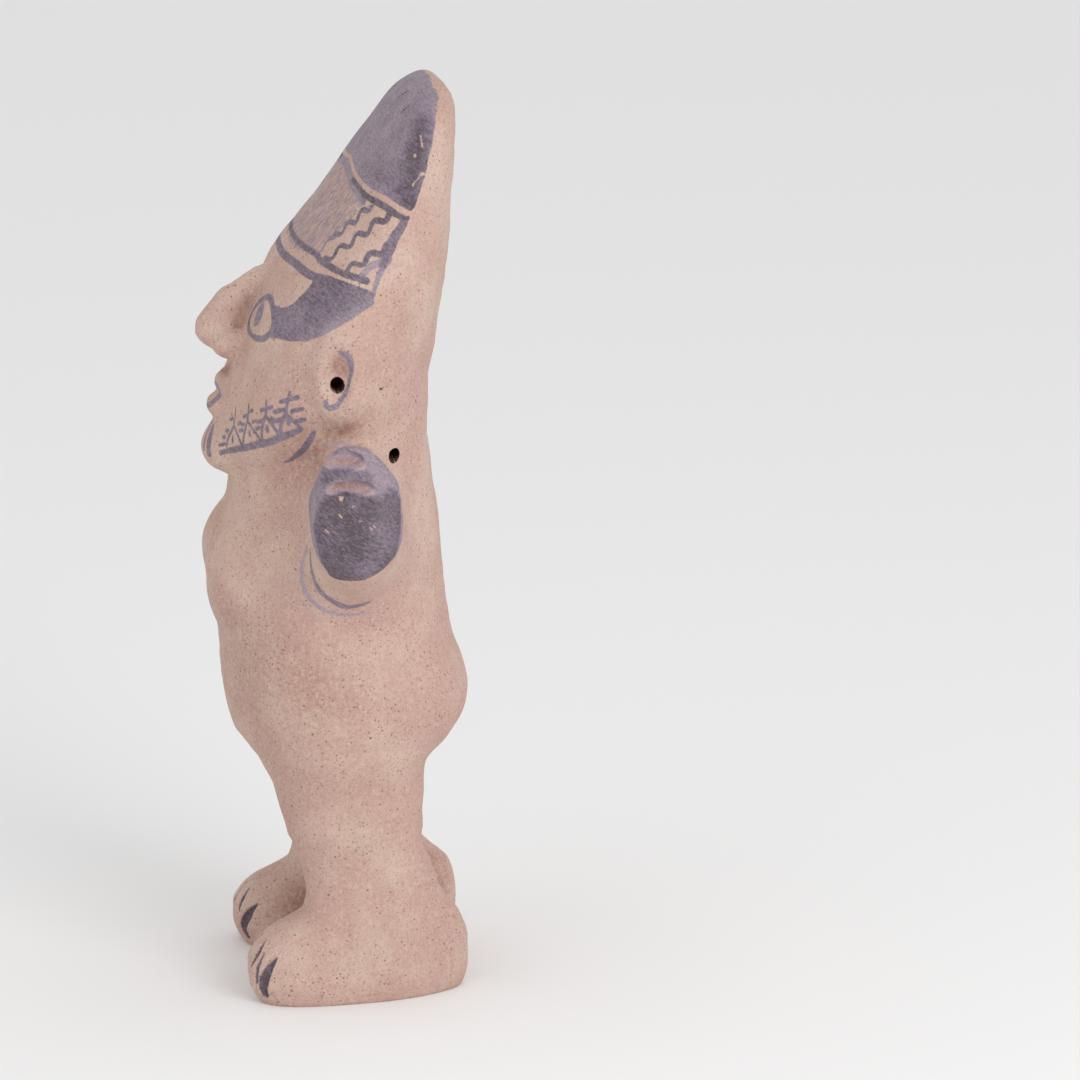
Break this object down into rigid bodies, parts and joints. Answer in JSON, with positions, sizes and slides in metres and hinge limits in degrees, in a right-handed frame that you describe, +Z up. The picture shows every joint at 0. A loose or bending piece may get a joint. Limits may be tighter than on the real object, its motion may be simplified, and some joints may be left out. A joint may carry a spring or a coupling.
{
  "type": "chancay figure",
  "caption": "Standing hollow clay figure with a pointed headdress, beaked nose, short raised arm stubs and broad flat feet.",
  "frame": {"origin": "on the ground, at the middle of the figure's box", "axes": "+Z up, the figure faces -Y, +X to the figure's left"},
  "size_m": [0.1758, 0.0956, 0.3313],
  "materials": {
    "clay": "matt pinkish-beige fired clay with fine dark specks, painted with purple-grey slip"
  },
  "bodies": {
    "root": {"figure": "clay"}
  },
  "joints": []
}
